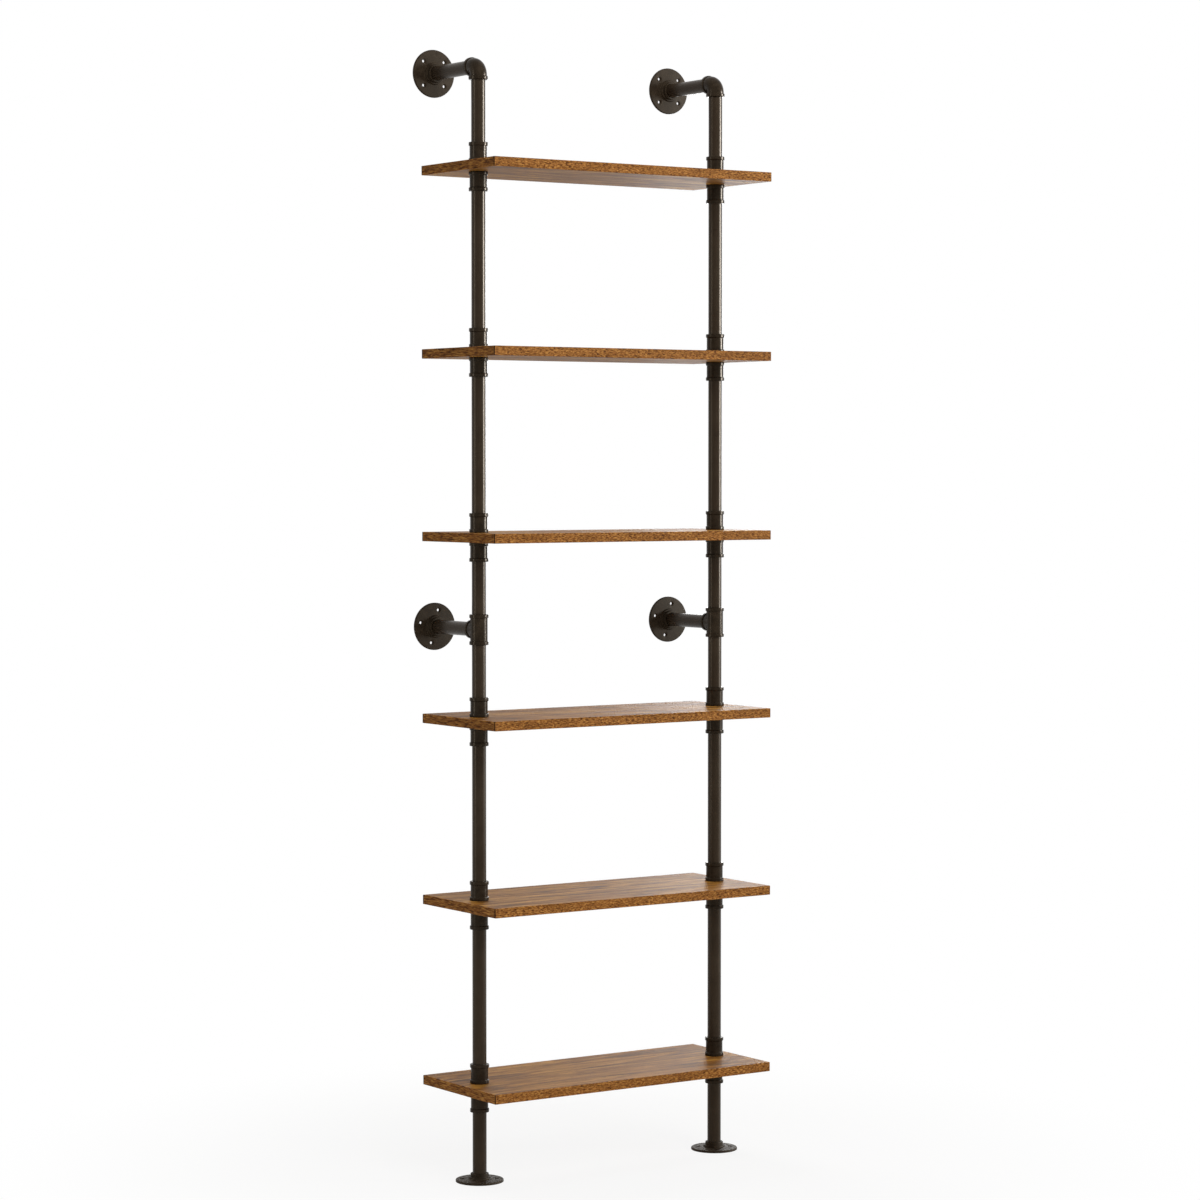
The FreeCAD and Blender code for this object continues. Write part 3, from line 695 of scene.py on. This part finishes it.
elbow = begin("elbow", bpy.ops.mesh.primitive_circle_add, vertices=FACETS, radius=BODY_RADIUS,
              location=(0, 0, 0))
bpy.ops.transform.translate(value=(0, 0, -BEND_RADIUS))
bpy.ops.mesh.spin(steps=BEND_STEPS, angle=QUARTER_TURN, center=BEND_CENTRE, axis=(1, 0, 0))
for along in ELBOW_MOUTHS:
    radius, reach = BODY_RADIUS, BEND_RADIUS
    choose_ring(elbow, along * reach, along, radius)
    for next_radius, next_reach in (
            (BODY_RADIUS, ELBOW_BEAD), (BEAD_RADIUS, ELBOW_BEAD), (BEAD_RADIUS, ELBOW_REACH),
            (MOUTH_RADIUS, ELBOW_REACH), (SOCKET_RADIUS, ELBOW_REACH - MOUTH_DEPTH),
            (SOCKET_RADIUS, BEND_RADIUS)):
        bpy.ops.mesh.extrude_region_move(TRANSFORM_OT_translate={"value": along * (next_reach - reach)})
        grow = next_radius / radius
        bpy.ops.transform.resize(value=(grow, grow, grow), center_override=along * next_reach)
        radius, reach = next_radius, next_reach
bpy.ops.mesh.spin(steps=BEND_STEPS, angle=QUARTER_TURN, center=BEND_CENTRE, axis=(-1, 0, 0))
mend()
for along in ELBOW_MOUTHS:
    for reach in (ELBOW_REACH, ELBOW_BEAD):
        choose_ring(elbow, along * reach, along, BEAD_RADIUS)
        bpy.ops.mesh.bevel(offset=BEAD_ROUND, segments=ROUND_STEPS, affect="EDGES")
end(elbow)
elbow.data.materials.append(malleable_iron)
for side in SIDES:
    low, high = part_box(f"elbow_{side}")
    corner = Vector(((low.x + high.x) / 2, low.y + BEAD_RADIUS, low.z + ELBOW_REACH))
    place(elbow, f"cast_elbow_{side}", Matrix.Translation(corner), f"elbow_{side}")
bpy.data.objects.remove(elbow)


# Wall arms: short lengths of the same pipe, from the tees and the elbows straight back to the wall.
# They are threaded at both ends and painted as the uprights are.
LEVELS = ("middle", "upper")
arm_lengths = {}
for level in LEVELS:
    for side in SIDES:
        low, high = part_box(f"wall_arm_{level}_{side}")
        length = round(high.y - low.y, MICROMETRE_DIGITS)
        if length not in arm_lengths:
            arm_lengths[length] = pipe(length)
        root = Vector(((low.x + high.x) / 2, low.y, (low.z + high.z) / 2))
        place(arm_lengths[length], f"steel_wall_arm_{level}_{side}", Matrix.Translation(root) @ TO_BACK,
              f"wall_arm_{level}_{side}")
for pattern in arm_lengths.values():
    bpy.data.objects.remove(pattern)


# Wall flanges: the same castings as the feet, screwed flat to the wall at the end of each arm.
# The screw holes stand at a different turn on each level, as the threads happened to draw tight.
TO_FRONT = Matrix.Rotation(QUARTER_TURN, 4, "X")
WALL_SCREW_TURNS = {"middle": math.radians(76), "upper": math.radians(45)}
for level in LEVELS:
    for side in SIDES:
        low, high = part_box(f"wall_flange_{level}_{side}")
        back = Vector(((low.x + high.x) / 2, high.y, (low.z + high.z) / 2))
        place(flange, f"cast_wall_flange_{level}_{side}",
              Matrix.Translation(back) @ TO_FRONT @ Matrix.Rotation(WALL_SCREW_TURNS[level], 4, "Z"),
              f"wall_flange_{level}_{side}")
bpy.data.objects.remove(flange)


# Floor and studio: a pale seamless floor that fades to white, in a white room. Softboxes at the right, in
# front, overhead and behind give the light. Three strips show in reflections only: those at the right and
# left draw the pipes' highlights, and the one behind at the right gives the boards their sheen.
FLOOR_RADIUS = 12
FLOOR_FACETS = 96
FLOOR_WHITE = "#f4f3f1"
PAPER_GRAIN = 3 * MM
PAPER_SKIN = {"Strength": 0.05, "Distance": 0.1 * MM}
FADE_START = 0.4
FADE_END = 1.3
FLOOR_GLOW = 0.86
AMBIENT = 0.23


def seen_by_eye(finish):
    """1 for a ray from the camera, or from a reflection or a clear piece that it sees, and 0 for the rest."""
    ray = add(finish, "ShaderNodeLightPath")
    seen = add(finish, "ShaderNodeMath", {0: ray.outputs["Is Camera Ray"], 1: ray.outputs["Is Glossy Ray"]},
               operation="MAXIMUM")
    return add(finish, "ShaderNodeMath", {0: seen.outputs["Value"], 1: ray.outputs["Is Transmission Ray"]},
               operation="MAXIMUM").outputs["Value"]


def pale_floor():
    """Matt pale paper: it takes the soft shadow near the feet, and fades to plain white further out."""
    finish = new_finish("pale floor paper")
    spot = add(finish, "ShaderNodeTexCoord").outputs["Object"]
    # Real paper grain is under half a millimetre; it is drawn coarser so that it shows.
    grain = add(finish, "ShaderNodeTexNoise", {"Vector": spot, "Scale": 1 / PAPER_GRAIN, "Detail": 2.0})
    skin = add(finish, "ShaderNodeBump", {"Height": grain.outputs["Fac"], **PAPER_SKIN})
    paper = add(finish, "ShaderNodeBsdfDiffuse", {"Color": linear(FLOOR_WHITE),
                                                  "Normal": skin.outputs["Normal"]})
    white = add(finish, "ShaderNodeEmission", {"Color": linear(WHITE), "Strength": 1.0})
    distance = add(finish, "ShaderNodeVectorMath", {0: spot}, operation="LENGTH")
    fade = add(finish, "ShaderNodeMapRange", {"Value": distance.outputs["Value"], "From Min": FADE_START,
                                              "From Max": FADE_END, "To Min": FLOOR_GLOW, "To Max": 1.0},
               interpolation_type="SMOOTHSTEP")
    share = add(finish, "ShaderNodeMath", {0: fade.outputs["Result"], 1: seen_by_eye(finish)},
                operation="MULTIPLY")
    mixed = add(finish, "ShaderNodeMixShader", {"Fac": share.outputs["Value"], 1: paper.outputs["BSDF"],
                                                2: white.outputs["Emission"]})
    add(finish, "ShaderNodeOutputMaterial", {"Surface": mixed.outputs["Shader"]})
    return finish


floor = begin("floor", bpy.ops.mesh.primitive_circle_add, vertices=FLOOR_FACETS, radius=FLOOR_RADIUS,
              fill_type="NGON", location=(0, 0, 0))
bpy.ops.object.mode_set(mode="OBJECT")
floor.data.materials.append(pale_floor())

world = bpy.data.worlds.new("white room")
bpy.context.scene.world = world
world.use_nodes = True
world.node_tree.nodes.clear()
glow = add(world, "ShaderNodeMapRange", {"Value": seen_by_eye(world), "To Min": AMBIENT, "To Max": 1.0})
room = add(world, "ShaderNodeBackground", {"Color": linear(WHITE), "Strength": glow.outputs["Result"]})
add(world, "ShaderNodeOutputWorld", {"Surface": room.outputs["Background"]})

# Each lamp's place, width and height in metres, and its power in watts.
LAMPS = {
    "softbox right": (Vector((5.43, -4.42, 2.0)), 1.0, 2.1, 100),
    "strip right": (Vector((5.77, -3.2, 2.08)), 0.6, 2.2, 900),
    "strip back": (Vector((2.9, 3.0, 1.7)), 1.1, 1.3, 32),
    "softbox front": (Vector((-0.5, -4.0, 3.6)), 2.6, 2.6, 102),
    "strip left": (Vector((-3.15, 0.45, 1.6)), 0.35, 2.8, 40),
    "softbox top": (Vector((0.4, -0.7, 3.9)), 1.5, 1.5, 20),
    "softbox back": (Vector((0, 3.8, 3.8)), 2.2, 2.2, 85),
}
AIM = Vector((0, 0, 1.08))
for name, (spot, width, height, power) in LAMPS.items():
    bpy.ops.object.select_all(action="DESELECT")
    bpy.ops.object.light_add(type="AREA", location=spot)
    lamp = bpy.context.object
    lamp.name = name
    lamp.rotation_euler = (AIM - spot).to_track_quat("-Z", "Y").to_euler()
    lamp.data.shape = "RECTANGLE"
    lamp.data.size = width
    lamp.data.size_y = height
    lamp.data.energy = power
    lamp.visible_glossy = name.startswith("strip")
    lamp.visible_diffuse = name.startswith("softbox")


# Camera: a long lens a little above the middle of the bookcase, round to its left and six or seven
# metres off, pitched slightly down so that the whole height fits.
CAMERA_PLACE = Vector((-3.752, -5.543, 1.363))
CAMERA_YAW = math.radians(34.19)
CAMERA_PITCH = math.radians(2.242)
SENSOR_WIDTH = 36
LENS_LENGTH = 103.5
CLIP_END = 60
bpy.ops.object.camera_add(location=CAMERA_PLACE, rotation=(math.pi / 2 - CAMERA_PITCH, 0, -CAMERA_YAW))
camera = bpy.context.object
camera.data.sensor_width = SENSOR_WIDTH
camera.data.lens = LENS_LENGTH
camera.data.clip_end = CLIP_END
bpy.context.scene.camera = camera
bpy.context.scene.view_settings.view_transform = "Standard"
